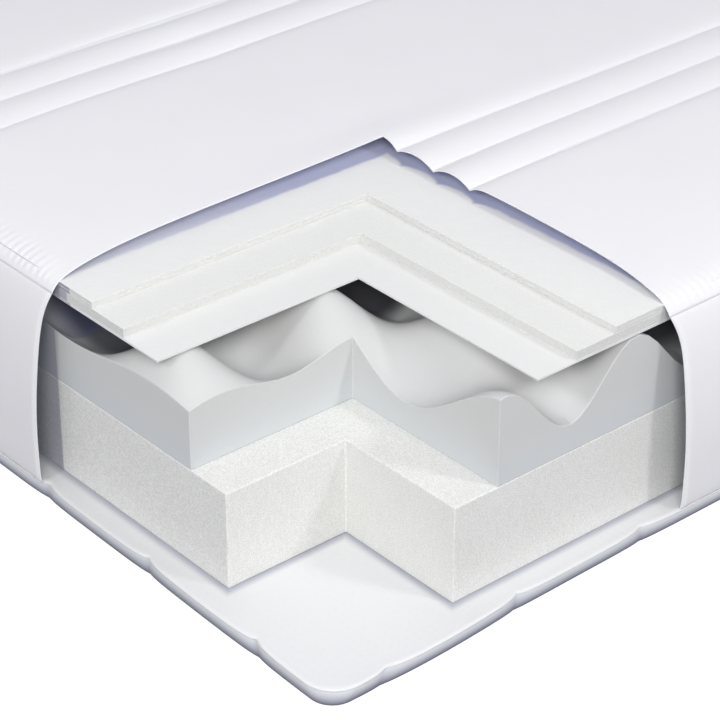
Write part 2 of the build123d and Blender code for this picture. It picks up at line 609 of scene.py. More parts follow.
def settle(piece: bpy.types.Object, slot: Slot, *nodes: str) -> bpy.types.Object:
    """Tie a finished piece to the frame.

    Args:
        piece: The piece.
        slot: Not used.
        nodes: The solids that it stands for.
    Returns:
        The piece.
    """
    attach(piece, "root")
    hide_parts(*nodes)
    LOG.info("%s: %d points", piece.name, len(piece.data.vertices))
    return piece


def graded(low: float, high: float, anchors: Sequence[float], fine: float, coarse: float, growth: float) -> Array:
    """Places of grid lines from low to high, dense near the anchors.

    The wanted gap is the fine one plus growth times the distance to the nearest anchor, up to the coarse one. The
    lines stand at equal steps of the running sum of 1 over that gap.

    Args:
        low: First place.
        high: Last place.
        anchors: Places where the lines are dense.
        fine: Gap at an anchor.
        coarse: Largest gap.
        growth: Gap added for each metre from an anchor.
    Returns:
        The places, from low to high.
    """
    at = np.linspace(low, high, 4001)
    away = np.min(np.abs(at[:, None] - np.asarray(anchors)[None, :]), axis=1)
    density = 1.0 / np.minimum(coarse, fine + growth * away)
    total = np.concatenate([[0.0], np.cumsum((density[1:] + density[:-1]) / 2 * np.diff(at))])
    count = max(2, int(round(total[-1])) + 1)
    return np.interp(np.linspace(0.0, total[-1], count), total, at)


def smooth_step(value: Array, low: float, high: float) -> Array:
    """Smooth step from 0 at low to 1 at high: 3t squared less 2t cubed."""
    t = np.clip((value - low) / (high - low), 0.0, 1.0)
    return t * t * (3.0 - 2.0 * t)


# ---------------------------------------------------------------- plans and loops

@dataclass(frozen=True)
class Plan:
    """Rounded rectangle seen from above, with its corner at +X -Y cut back square."""

    half_x: float
    half_y: float
    radius: float
    cut_x: float
    cut_y: float
    fine: float = 0.006
    coarse: float = 0.03
    growth: float = 0.06

    def lines(self) -> Sides:
        """Grid lines along X and along Y, dense at the cut and at the ends, with one exactly on each cut."""
        xs = [graded(a, b, (self.cut_x, -self.half_x, self.half_x), self.fine, self.coarse, self.growth)
              for a, b in ((-self.half_x, self.cut_x), (self.cut_x, self.half_x))]
        ys = [graded(a, b, (self.cut_y, -self.half_y, self.half_y), self.fine, self.coarse, self.growth)
              for a, b in ((-self.half_y, self.cut_y), (self.cut_y, self.half_y))]
        return np.concatenate([xs[0], xs[1][1:]]), np.concatenate([ys[0], ys[1][1:]])

    def rounded(self, x: Array, y: Array) -> Sides:
        """Move grid points near the corners onto round ones.

        A point in a corner's square keeps its larger offset from the corner's centre as its distance from it.

        Args:
            x: Places along X.
            y: Places along Y.
        Returns:
            The moved places.
        """
        core_x, core_y = self.half_x - self.radius, self.half_y - self.radius
        u = np.clip(np.abs(x) - core_x, 0.0, None)
        v = np.clip(np.abs(y) - core_y, 0.0, None)
        length = np.hypot(u, v)
        share = np.where(length > 0, np.maximum(u, v) / np.maximum(length, 1e-9), 1.0)
        both = (u > 0) & (v > 0)
        return (np.where(both, np.sign(x) * (core_x + u * share), x),
                np.where(both, np.sign(y) * (core_y + v * share), y))

    def depth(self, x: Array, y: Array) -> Array:
        """Distance inwards from the rounded outline, which is negative outside it."""
        u = np.abs(x) - (self.half_x - self.radius)
        v = np.abs(y) - (self.half_y - self.radius)
        outside = np.hypot(np.clip(u, 0, None), np.clip(v, 0, None)) + np.minimum(np.maximum(u, v), 0.0)
        return self.radius - outside

    def kept(self, xs: Array, ys: Array) -> Array:
        """Which cells between the grid lines lie outside the cut corner."""
        middle_x, middle_y = (xs[1:] + xs[:-1]) / 2, (ys[1:] + ys[:-1]) / 2
        return ~((middle_x[None, :] > self.cut_x) & (middle_y[:, None] < self.cut_y))

    def grid(self) -> tuple[Array, Array, Array]:
        """Grid points with round corners, and which cells lie outside the cut corner."""
        xs, ys = self.lines()
        return *self.rounded(*np.meshgrid(xs, ys)), self.kept(xs, ys)


def edge_walls(kept: Array, columns: int) -> Array:
    """Directed edges round the kept cells of a grid, with the kept side on their left.

    Args:
        kept: Which cells are kept.
        columns: Number of points in a row.
    Returns:
        Point numbers, two to an edge.
    """
    padded = np.pad(kept, 1)
    rows, cols = np.nonzero(kept)
    corner = rows * columns + cols
    sides = [((0, 1), (-1, 0)), ((1, 1 + columns), (0, 1)), ((1 + columns, columns), (1, 0)), ((columns, 0), (0, -1))]
    edges = []
    for (start, stop), (down, right) in sides:
        free = ~padded[rows + 1 + down, cols + 1 + right]
        edges.append(np.stack([corner[free] + start, corner[free] + stop], axis=1))
    return np.concatenate(edges)


def block(name: str, plan: Plan, top: Surface, bottom: Surface) -> bpy.types.Object:
    """Closed block between two surfaces over a plan.

    Args:
        name: Name of the piece.
        plan: Its plan.
        top: Level of the upper surface at X, Y.
        bottom: Level of the lower surface at X, Y.
    Returns:
        The object.
    """
    x, y, kept = plan.grid()
    cells, edges = kept_cells(kept), edge_walls(kept, x.shape[1])
    walls = np.stack([edges[:, 0] + x.size, edges[:, 1] + x.size, edges[:, 1], edges[:, 0]], axis=1)
    faces = np.concatenate([cells, cells[:, ::-1] + x.size, walls])
    points = np.concatenate([np.stack([x, y, side(x, y)], axis=-1).reshape(-1, 3) for side in (top, bottom)])
    used, fresh = np.unique(faces, return_inverse=True)
    return make_object(name, points[used], fresh.reshape(faces.shape), cloth=points[used, :2])


@dataclass(frozen=True)
class Loop:
    """Way round a rounded rectangle, anticlockwise from above, at any inset."""

    half_x: float
    half_y: float
    radius: float

    def walk(self, inset: Array, gap: float, start_y: Array | None = None, stop_x: Array | None = None,
             turn: float = 4.0, radius: Array | None = None) -> tuple[Array, Array, Array]:
        """Places round the loop at each inset.

        It starts on the +X side. An open walk stops on the -Y side, before the cut corner; a closed one goes all
        the way round. Straight runs are shared out evenly, and corners are arcs.

        Args:
            inset: Insets from the outline.
            gap: Distance between places on a straight run.
            start_y: Y of the open walk's start at each inset, or None for a closed walk.
            stop_x: X of the open walk's end at each inset, or None for a closed walk.
            turn: Degrees between places on a corner.
            radius: Corner radius at each inset, or None for the loop's own.
        Returns:
            X and Y, one row for each inset, and the distance walked at no inset.
        """
        inset = np.asarray(inset, float)
        radius = np.full_like(inset, self.radius) if radius is None else np.asarray(radius, float)
        reach_x, reach_y = self.half_x - radius - inset, self.half_y - radius - inset
        closed = start_y is None
        first_y = -reach_y if closed else start_y
        last_x = reach_x if closed else stop_x
        ways = [((self.half_x - inset, first_y), (self.half_x - inset, reach_y)),
                ((reach_x, self.half_y - inset), (-reach_x, self.half_y - inset)),
                ((inset - self.half_x, reach_y), (inset - self.half_x, -reach_y)),
                ((-reach_x, inset - self.half_y), (last_x, inset - self.half_y))]
        centres = [(reach_x, reach_y), (-reach_x, reach_y), (-reach_x, -reach_y), (reach_x, -reach_y)]
        xs, ys, walked, total = [], [], [], 0.0
        for side, ((x0, y0), (x1, y1)) in enumerate(ways):
            length = float(np.hypot(x1[0] - x0[0], y1[0] - y0[0]))
            length += 2 * float(inset[0] + radius[0] - self.radius) * closed
            t = np.linspace(0.0, 1.0, max(2, int(length / gap)) + 1)
            xs.append(x0[:, None] + (x1 - x0)[:, None] * t)
            ys.append(y0[:, None] + (y1 - y0)[:, None] * t)
            walked.append(total + length * t)
            total += length
            if side == 3 and not closed:
                break
            angle = np.radians(90.0 * side + np.arange(turn, 90.0 - turn / 2, turn))
            cx, cy = centres[side]
            xs.append(cx[:, None] + radius[:, None] * np.cos(angle)[None, :])
            ys.append(cy[:, None] + radius[:, None] * np.sin(angle)[None, :])
            arc = self.radius * math.pi / 2
            walked.append(total + arc * np.linspace(0, 1, len(angle) + 2)[1:-1])
            total += arc
        return np.concatenate(xs, axis=1), np.concatenate(ys, axis=1), np.concatenate(walked)


# ---------------------------------------------------------------- stitches

@dataclass(frozen=True)
class Stitching:
    """Row of short stitches, each a slim rounded bar."""

    length: float = 0.0042
    gap: float = 0.0014
    width: float = 0.0009
    height: float = 0.0007

    def bar(self) -> Sides:
        """One stitch: six-sided rings whose width is the root of 1 less the squared place along it, with ends."""
        along = np.array([-0.5, -0.42, -0.2, 0.2, 0.42, 0.5])
        girth = np.sqrt(np.clip(1.02 - (2 * along) ** 2, 0.05, 1.0))
        turn = np.radians(np.arange(0, 360, 60))
        points = np.stack([np.repeat(along * self.length, 6),
                           (girth[:, None] * np.cos(turn)).ravel() * self.width / 2,
                           (girth[:, None] * np.sin(turn)).ravel() * self.height / 2], axis=1)
        return points, grid_faces(6, 6, closed=True)[:, ::-1]

    def sew(self, name: str, runs: Sequence[Sides]) -> bpy.types.Object:
        """Sew stitches along runs.

        Each stitch is the bar turned to the run's direction there, with its height along the run's normal.

        Args:
            name: Name of the piece.
            runs: Places and normals of each run, in order along it.
        Returns:
            The object.
        """
        centres, tangents, normals = [], [], []
        for places, upward in runs:
            steps = np.linalg.norm(np.diff(places, axis=0), axis=1)
            walked = np.concatenate([[0.0], np.cumsum(steps)])
            count = int(walked[-1] / (self.length + self.gap))
            at = (np.arange(count) + 0.5) * walked[-1] / count
            half = self.length / 2
            centre, ahead, behind, normal = (
                np.stack([np.interp(at + move, walked, source[:, k]) for k in range(3)], axis=1)
                for move, source in ((0.0, places), (half, places), (-half, places), (0.0, upward)))
            tangent = ahead - behind
            centres.append(centre)
            tangents.append(tangent / np.linalg.norm(tangent, axis=1, keepdims=True))
            normals.append(normal / np.linalg.norm(normal, axis=1, keepdims=True))
        centre, tangent, normal = (np.concatenate(part) for part in (centres, tangents, normals))
        side = np.cross(normal, tangent)
        bar, faces = self.bar()
        points = (centre[:, None, :] + bar[None, :, 0:1] * tangent[:, None, :] + bar[None, :, 1:2] * side[:, None, :]
                  + bar[None, :, 2:3] * normal[:, None, :])
        shift = np.arange(len(centre)) * len(bar)
        all_faces = (faces[None, :, :] + shift[:, None, None]).reshape(-1, 4)
        caps = np.concatenate([np.arange(6)[None, :] + shift[:, None], np.arange(35, 29, -1)[None, :] + shift[:, None]])
        return make_object(name, points.reshape(-1, 3), all_faces, extra_faces=caps.tolist())


# ---------------------------------------------------------------- sizes from the frame

@dataclass(frozen=True)
class Sizes:
    """Main sizes, read from the solids of the frame."""

    half_x: float
    half_y: float
    lip: float
    foam_half_x: float
    foam_half_y: float
    seam: float
    seam_half_x: float
    seam_half_y: float

    @classmethod
    def read(cls) -> "Sizes":
        """Read the sizes from the solids' boxes."""
        base, foam, seam = (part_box(n)[1] for n in ("base_lining", "base_foam", "top_seam_thread"))
        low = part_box("top_seam_thread")[0]
        return cls(base.x, base.y, base.z, foam.x, foam.y, (low.z + seam.z) / 2, seam.x, seam.y)

    def plan(self, step: Pair, fine: float = 0.006, coarse: float = 0.03) -> Plan:
        """Plan of a foam layer cut back by a step, with the gap of grid lines at the cut and the largest one."""
        return Plan(self.foam_half_x, self.foam_half_y, 0.027, self.half_x - step[0], step[1] - self.half_y,
                    fine, coarse)


# ---------------------------------------------------------------- foam core

@dataclass
class FoamCore:
    """Base block, wave block and the two separator sheets on its crests."""

    sizes: Sizes
    base_step: Pair = (0.175, 0.166)
    wave_step: Pair = (0.224, 0.216)
    separator_step: Pair = (0.267, 0.260)
    wave_pitch: Pair = (0.2546, 0.1577)
    first_crest: Pair = (0.0253, 0.0652)
    amplitude: float = 0.0305
    base_finish: FoamFinish = FoamFinish("support foam", (0.845, 0.845, 0.825), (0.66, 0.66, 0.625), 0.0012, 0.85,
                                         0.00025)
    # Wave foam: bluish painted shade towards the bottom, and near black painted shade deep under the sheets.
    wave_finish: FoamFinish = FoamFinish("wave foam", (0.64, 0.64, 0.63), (0.605, 0.605, 0.595), 0.0016, 0.25, 0.00008,
                                         (0.62, 0.67, 0.70), (0.112, 0.165), (0.919, 0.669, 0.683, 0.440))
    sheet_finish: FleeceFinish = FleeceFinish("separator fleece", (0.785, 0.785, 0.77), (0.735, 0.735, 0.72),
                                              strength=0.3, relief=0.00008)

    def wave_level(self, x: Array, y: Array) -> Array:
        """Level of the waves: the crest's level less the amplitude, plus it times a cosine along X and one along Y."""
        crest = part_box("wave_foam")[1].z
        u = 2 * math.pi * (x - (self.sizes.half_x - self.first_crest[0])) / self.wave_pitch[0]
        v = 2 * math.pi * (y - (self.first_crest[1] - self.sizes.half_y)) / self.wave_pitch[1]
        return crest - self.amplitude + self.amplitude * np.cos(u) * np.cos(v) - 0.0002

    def build_base(self) -> None:
        """Build the base block, flat above and below."""
        low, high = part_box("base_foam")
        piece = block("support_foam_block", self.sizes.plan(self.base_step, 0.02, 0.12),
                      flat_at(high.z), flat_at(low.z))
        soften(piece, 0.0016, 3)
        dress(piece, self.base_finish.make())
        settle(piece, Slot.SUPPORT, "base_foam")

    def build_waves(self) -> None:
        """Build the wave block, whose upper surface is the wave formula."""
        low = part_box("wave_foam")[0].z
        piece = block("wave_foam_block", self.sizes.plan(self.wave_step, 0.005, 0.012), self.wave_level,
                      flat_at(low))
        soften(piece, 0.001, 2, 24.0)
        dress(piece, self.wave_finish.make())
        settle(piece, Slot.WAVE, "wave_foam")

    def build_separators(self) -> None:
        """Build the two thin sheets that lie on the crests."""
        finish = self.sheet_finish.make()
        for name in ("separator_lower", "separator_upper"):
            build_sheet(name, self.sizes, self.separator_step, Slot.SEPARATOR, finish)

    def build(self) -> None:
        """Build the core from the base up."""
        self.build_base()
        self.build_waves()
        self.build_separators()


def build_sheet(node: str, sizes: Sizes, step: Pair, slot: Slot, finish: bpy.types.Material) -> bpy.types.Object:
    """Build one flat sheet between the levels of its solid.

    Args:
        node: The solid that it stands for.
        sizes: Main sizes.
        step: Distances cut back along X and Y.
        slot: Slot for its finish, passed on.
        finish: Its material.
    Returns:
        The sheet.
    """
    low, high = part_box(node)
    margin = min(0.0001, (high.z - low.z) / 20)
    piece = block(f"{node}_sheet", sizes.plan(step, 0.01, 0.04), flat_at(high.z - margin), flat_at(low.z + margin))
    soften(piece, min(0.0003, (high.z - low.z) / 4), 2)
    dress(piece, finish)
    settle(piece, slot, node)
    flat = (2 * sizes.foam_half_y, 2 * sizes.foam_half_x)
    cut_off = (sizes.foam_half_x - sizes.half_x + step[0]) * (sizes.foam_half_y - sizes.half_y + step[1])
    area = flat[0] * flat[1] - cut_off
    return piece


# ---------------------------------------------------------------- comfort layers

@dataclass
class ComfortLayers:
    """Scrim, memory foam, two felts and the backing under the cover."""

    sizes: Sizes
    memory_step: Pair = (0.316, 0.306)
    felt_step: Pair = (0.363, 0.353)
    backing_step: Pair = (0.445, 0.447)
    # Memory foam: darker cut faces as painted side shade, and a painted border shadow from its own end place.
    memory_finish: FoamFinish = FoamFinish("memory foam", (0.80, 0.80, 0.785), (0.73, 0.73, 0.705), 0.0011, 0.6, 0.0002,
                                           cut_face_shade=(0.64, 0.64, 0.61), shadow_end=0.548)
    # Felt: darker cut faces as painted side shade, and painted shade under the cover's cut edges.
    felt_finish: FleeceFinish = FleeceFinish("comfort felt", (0.82, 0.82, 0.805), (0.755, 0.755, 0.735),
                                             cut_face_shade=(0.66, 0.66, 0.635), covered=(0.530, -0.278),
                                             cusps=(0.5625, 0.6145, 0.6665))
    scrim_finish: FleeceFinish = FleeceFinish("scrim", (0.84, 0.84, 0.84), (0.76, 0.76, 0.76), strength=0.4)

    def build_memory(self) -> None:
        """Build the scrim and the memory foam on it."""
        scrim = self.scrim_finish.make()
        build_sheet("foam_scrim", self.sizes, self.memory_step, Slot.SCRIM, scrim)
        low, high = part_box("memory_foam_sheet")
        piece = block("memory_foam_layer", self.sizes.plan(self.memory_step, 0.015, 0.08),
                      flat_at(high.z), flat_at(low.z))
        soften(piece, 0.0004, 2)
        dress(piece, self.memory_finish.make())
        settle(piece, Slot.MEMORY, "memory_foam_sheet")
        build_sheet("top_backing", self.sizes, self.backing_step, Slot.SCRIM, scrim)

    def build_felts(self) -> None:
        """Build the two felts."""
        finish = self.felt_finish.make()
        under = "memory_foam_layer"
        for name in ("comfort_felt_lower", "comfort_felt_upper"):
            under = build_sheet(name, self.sizes, self.felt_step, Slot.FELT, finish).name

    def build(self) -> None:
        """Build the layers from the scrim up."""
        self.build_memory()
        self.build_felts()


# ---------------------------------------------------------------- base panel

@dataclass
class BasePanel:
    """Base panel whose lip is drawn in at evenly spaced tacks."""

    sizes: Sizes
    radius: float = 0.026
    lip_top: float = 0.0136
    lip_radius: Pair = (0.0175, 0.0105)
    open_x: Pair = (0.50, 0.54)
    open_y: Pair = (0.27, 0.31)
    tack_x: Pair = (0.0985, 0.1572)
    tack_y: Pair = (0.0595, 0.1566)
    tack_run: float = 0.017
    crease_run: float = 0.004
    swell: float = 0.0078
    swell_at: Pair = (0.0, 0.08)
    swell_run: Pair = (0.25, 0.13)
    # Base knit: painted darker than the cover's knit and near black at the bottom of the lip, as painted shade, since
    # the floor reflects no light up.
    finish: KnitFinish = KnitFinish("base knit", (0.655, 0.665, 0.695), (0.58, 0.59, 0.62), foot=(0.10, 0.11, 0.16),
                                    foot_levels=(0.002, 0.0138))
    lining_finish: DottedFinish = DottedFinish("base lining", (0.745, 0.745, 0.75), (0.695, 0.695, 0.715))
    wadding_finish: FleeceFinish = FleeceFinish("base wadding", (0.88, 0.88, 0.89), (0.80, 0.80, 0.81))

    def loop(self) -> Loop:
        """Outline of the panel."""
        return Loop(self.sizes.half_x, self.sizes.half_y, self.radius)

    def to_tack(self, walked: Array) -> Array:
        """Distance to the nearest tack, for distances walked round the loop."""
        run_x, run_y = 2 * (self.sizes.half_x - self.radius), 2 * (self.sizes.half_y - self.radius)
        arc = self.radius * math.pi / 2
        along_x, along_y = (np.arange(first, run + 2 * self.radius - 0.05, pitch) - self.radius
                            for (first, pitch), run in ((self.tack_x, run_x), (self.tack_y, run_y)))
        tacks = np.concatenate([along_y, run_y + arc + along_x, run_y + run_x + 2 * arc + run_y - along_y,
                                2 * run_y + run_x + 3 * arc + run_x - along_x])
        total = 2 * (run_x + run_y) + 4 * arc
        return np.min(np.abs((walked[:, None] - tacks[None, :] + total / 2) % total - total / 2), axis=1)

    def ring(self, rows: Sequence[Four], gap: float = 0.0045) -> Sides:
        """Rings of points round the panel.

        Each ring is pushed out by a bell-shaped swelling near the open corner, and drawn in at the tacks by falling
        exponentials: a broad one, and a narrow one that makes a crease. The tacks pull less under the border.

        Args:
            rows: Inset, level, how far the tacks draw the ring in, and the share of the swelling that it takes.
            gap: Distance between points.
        Returns:
            The points, one row of them for each ring, and the distance walked.
        """
        insets, levels, pulls, shares = (np.array(part) for part in zip(*rows))
        radii = self.lip_radius[0] + self.lip_radius[1] * smooth_step(levels, 0.003, self.lip_top)
        x, y, walked = self.loop().walk(insets, gap, radius=radii)
        near = self.to_tack(walked)
        swell_x, swell_y = self.sizes.half_x - self.swell_at[0], self.swell_at[1] - self.sizes.half_y
        swelling = np.exp(-((x - swell_x) / self.swell_run[0]) ** 2 - ((y - swell_y) / self.swell_run[1]) ** 2)
        open_corner = smooth_step(x, *self.open_x) * smooth_step(-y, *self.open_y)
        fall = 0.75 * np.exp(-near / self.tack_run) + 0.25 * np.exp(-near / self.crease_run)
        drawn = fall * (0.2 + 0.8 * open_corner)
        outward = self.swell * shares[:, None] * swelling - pulls[:, None] * drawn
        x, y = push_out(x, y, outward)
        z = levels[:, None] - 0.12 * (pulls * (levels > 0.01))[:, None] * drawn
        return np.stack([x, y, z], axis=-1), walked

    def build_fabric(self) -> None:
        """Build the fabric: underside, rounded wall and the top line of the lip, turned in under the lining."""
        top = self.lip_top
        rows = [(0.6, 0.0005, 0.0, 0.0), (0.3, 0.0004, 0.0, 0.0), (0.12, 0.0003, 0.0, 0.2), (0.04, 0.0003, 0.0, 0.6),
                (0.012, 0.0002, 0.001, 1.0), (0.0035, 0.0004, 0.002, 1.0), (0.0008, 0.0016, 0.0022, 1.0),
                (-0.0012, 0.0036, 0.0026, 1.0), (-0.0014, 0.0058, 0.0034, 1.0), (-0.0006, 0.0084, 0.0046, 1.0),
                (0.0006, 0.0108, 0.006, 1.0), (0.0016, top - 0.0012, 0.0072, 1.0), (0.0030, top - 0.0007, 0.008, 1.0),
                (0.0065, top - 0.0012, 0.008, 1.0), (0.012, 0.0116, 0.006, 1.0)]
        points, walked = self.ring(rows)
        count = points.shape[1]
        across = np.cumsum(np.concatenate([[0.0], np.linalg.norm(np.diff(points[:, 0], axis=0), axis=1)]))
        cloth = np.stack(np.broadcast_arrays(walked[None, :], across[:, None]), axis=-1).reshape(-1, 2)
        faces = grid_faces(len(rows), count, closed=True)
        piece = make_object("base_panel_fabric", points.reshape(-1, 3), faces, [list(range(count))[::-1]], cloth)
        thicken(piece, 0.0009)
        dress(piece, self.finish.make())
        settle(piece, Slot.BASE, "base_fabric")
        2 * self.sizes.half_y + 0.05
        2 * self.sizes.half_x + 0.05

    def build_wadding(self) -> None:
        """Build the wadding: a flat pad that follows the lip."""
        low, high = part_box("base_wadding")
        rows = [(0.02, low.z + 0.0006, 0.002, 0.6), (0.009, low.z + 0.0012, 0.004, 0.8),
                (0.006, (low.z + high.z) / 2, 0.005, 0.9), (0.011, high.z - 0.0006, 0.007, 0.8),
                (0.02, high.z - 0.0002, 0.005, 0.6)]
        points, _ = self.ring(rows, 0.012)
        count = points.shape[1]
        caps = [list(range(count))[::-1], list(range(4 * count, 5 * count))]
        piece = make_object("base_panel_wadding", points.reshape(-1, 3), grid_faces(5, count, closed=True), caps)
        dress(piece, self.wadding_finish.make())
        settle(piece, Slot.WADDING, "base_wadding")

    def build_lining(self) -> None:
        """Build the lining: flat in the middle, with its edge turned down over the lip's top line."""
        level, top = self.sizes.lip, self.lip_top
        rows = [(0.0007, top - 0.0011, 0.0074, 1.0), (0.0014, top, 0.0078, 1.0), (0.0030, top + 0.0006, 0.008, 1.0),
                (0.0055, top + 0.0005, 0.008, 1.0), (0.010, top - 0.0002, 0.007, 0.95),
                (0.018, level + 0.0012, 0.004, 0.8), (0.032, level + 0.0003, 0.001, 0.5), (0.06, level, 0.0, 0.1),
                (0.2, level, 0.0, 0.0), (0.4, level, 0.0, 0.0), (0.62, level, 0.0, 0.0)]
        points, _ = self.ring(rows)
        count = points.shape[1]
        last = (len(rows) - 1) * count
        piece = make_object("base_panel_lining", points.reshape(-1, 3), grid_faces(len(rows), count, closed=True),
                            [list(range(last, last + count))], points.reshape(-1, 3)[:, :2])
        thicken(piece, 0.0008)
        dress(piece, self.lining_finish.make())
        settle(piece, Slot.LINING, "base_lining")
        2 * self.sizes.half_y + 0.01
        2 * self.sizes.half_x + 0.01

    def build(self) -> None:
        """Build the panel."""
        self.build_wadding()
        self.build_lining()
        self.build_fabric()


# ---------------------------------------------------------------- cover

@dataclass
class Cover:
    """Knitted border and quilted top panel, cut back at the corner, with their seams and wadding."""

    sizes: Sizes
    step: Pair = (0.420, 0.422)
    radius: float = 0.028
    knit: float = 0.0012
    bulge_level: float = 0.06
    bulge_depth: float = 0.036
    bulge_height: float = 0.165
    steep_rise: float = 0.0125
    steep_run: float = 0.0085
    crown_rise: float = 0.0125
    crown_run: float = 0.095
    lean: Pair = (0.0072, 0.0092)
    lean_run: float = 0.053
    first_group: float = 0.3465
    group_pitch: float = 0.398
    rib: float = 0.052
    groups: int = 4
    channel: float = 0.0077
    corner_lift: float = 0.0038
    ripple: float = 0.0005
    pucker: float = 0.0004
    setback: float = 0.07
    finish: KnitFinish = KnitFinish("cover knit", (0.825, 0.82, 0.835), (0.74, 0.735, 0.755), seam=(0.928, 0.678))
    # Inside: lavender, going near black towards the bottom as painted shade inside the cover.
    lining_finish: LiningFinish = LiningFinish("cover inside", (0.60, 0.62, 0.85), (0.10, 0.11, 0.17), 0.205, 0.232)
    # Cut edge: a little lighter than the knit, as a painted highlight along the edge.
    rim_highlight_finish: KnitFinish = KnitFinish("cover cut edge", (0.86, 0.865, 0.89), (0.78, 0.785, 0.82))
    wadding_finish: FleeceFinish = FleeceFinish("top wadding", (0.88, 0.88, 0.89), (0.80, 0.80, 0.81))
    thread_finish: ThreadFinish = ThreadFinish("seam thread", (0.82, 0.825, 0.86), (0.70, 0.705, 0.75))

    def cut(self) -> Pair:
        """Places of the two cuts along X and Y."""
        return self.sizes.half_x - self.step[0], self.step[1] - self.sizes.half_y

    def seam_plan(self) -> Plan:
        """Plan inside the top seam."""
        cut_x, cut_y = self.cut()
        return Plan(self.sizes.seam_half_x, self.sizes.seam_half_y, self.radius, cut_x, cut_y, 0.0012, 0.014, 0.14)

    def border_inset(self, level: Array) -> Array:
        """Inset of the border at a level: a quarter of an ellipse above the widest level, and a small tuck below."""
        share = np.clip((level - self.bulge_level) / self.bulge_height, 0.0, 1.0)
        tuck = 0.0022 * np.exp(-(level - self.sizes.lip) / 0.006)
        return self.bulge_depth * (1 - np.sqrt(1 - share**2)) + tuck

    def seam_places(self) -> Array:
        """X places of all quilting seams, three to a group."""
        middles = self.sizes.half_x - self.first_group - self.group_pitch * np.arange(self.groups)
        return (middles[:, None] + self.rib * np.array([-1.0, 0.0, 1.0])[None, :]).ravel()

    def quilting(self, x: Array) -> Array:
        """How far the quilting draws the cloth down: 1 at a seam and 0 on a rib or away from the group.

        Between two seams of a group the cloth stands up as the size of a sine to the power 0.75; outside the group
        it rises as 1 less a falling exponential.
        """
        seams = self.seam_places().reshape(-1, 3)
        pull = np.zeros_like(x)
        for first, _, last in seams:
            inside = (x > first) & (x < last)
            rib = np.abs(np.sin(math.pi * (x - first) / self.rib)) ** 0.75
            away = np.minimum(np.abs(x - first), np.abs(x - last))
            pull = np.maximum(pull, np.where(inside, 1 - rib, np.exp(-away / 0.0085)))
        return pull

    def top_level(self, x: Array, y: Array) -> Array:
        """Level of the top panel.

        The seam's level, plus a steep rise that is 1 less a falling exponential of the distance from the seam, plus
        a slow crown of the same kind along X and Y, less the quilting, plus soft ripples of less than 1 mm and a
        lift of 4 mm at the inner corner of the cut, a bell curve along X and a falling exponential along Y.
        """
        plan = self.seam_plan()
        depth = np.clip(plan.depth(x, y), 0.0, None)
        deep_x = np.clip(plan.half_x - np.abs(x), 0.0, None)
        deep_y = np.clip(plan.half_y - np.abs(y), 0.0, None)
        crown = (1 - np.exp(-deep_x / self.crown_run)) * (1 - np.exp(-deep_y / self.crown_run))
        cut_x, cut_y = self.cut()
        lift = self.corner_lift * np.exp(-(((x - cut_x) / 0.028) ** 2) - np.abs(y - cut_y) / 0.11)
        ends = smooth_step(deep_y, 0.012, 0.085) * (0.55 + 0.45 * np.exp(-np.abs(y - cut_y) / 0.08))
        ripple = self.ripple * np.sin(13.0 * x + 2.0 * np.sin(5 * y)) * np.sin(11.0 * y + 1.5 * np.sin(7 * x))
        pucker = self.pucker * np.exp(-((depth - 0.014) / 0.013) ** 2) * (
            np.sin(2 * math.pi * x / 0.047 + 2 * np.sin(9 * x)) * (deep_y < deep_x)
            + np.sin(2 * math.pi * y / 0.043 + 2 * np.sin(8 * y)) * (deep_x <= deep_y))
        return (self.sizes.seam + self.steep_rise * (1 - np.exp(-depth / self.steep_run))
                + self.crown_rise * crown + lift - self.channel * self.quilting(x) * ends
                + (ripple + pucker) * (1 - np.exp(-depth / 0.01)))

    def leaning(self, depth: Array) -> Array:
        """How much of its lean the top panel's cut edge has at a distance from the seam: half of a bell curve."""
        return np.exp(-((depth / self.lean_run) ** 2))

    def panel_lines(self) -> Sides:
        """Grid lines of the top panel, dense at the seams, at the quilting and at the cuts."""
        plan = self.seam_plan()
        seams = [float(s) for s in self.seam_places()]
        x_anchors = [-plan.half_x, plan.half_x, plan.cut_x, *seams]
        stops = sorted({-plan.half_x, plan.half_x, plan.cut_x, *seams})
        xs = [graded(a, b, x_anchors, 0.0014, 0.014, 0.16)[:-1] for a, b in zip(stops[:-1], stops[1:])]
        y_anchors = (-plan.half_y, plan.half_y, plan.cut_y)
        ys = [graded(a, b, y_anchors, 0.0014, 0.016, 0.1) for a, b in
              ((-plan.half_y, plan.cut_y), (plan.cut_y, plan.half_y))]
        return np.append(np.concatenate(xs), plan.half_x), np.concatenate([ys[0], ys[1][1:]])

    def clothe(self, piece: bpy.types.Object, node: str) -> None:
        """Give a piece of the cover its thickness and finishes, and tie it to its solid."""
        thicken(piece, self.knit, 1, 2)
        dress(piece, self.finish.make(), self.lining_finish.make(), self.rim_highlight_finish.make())
        settle(piece, Slot.COVER, node)

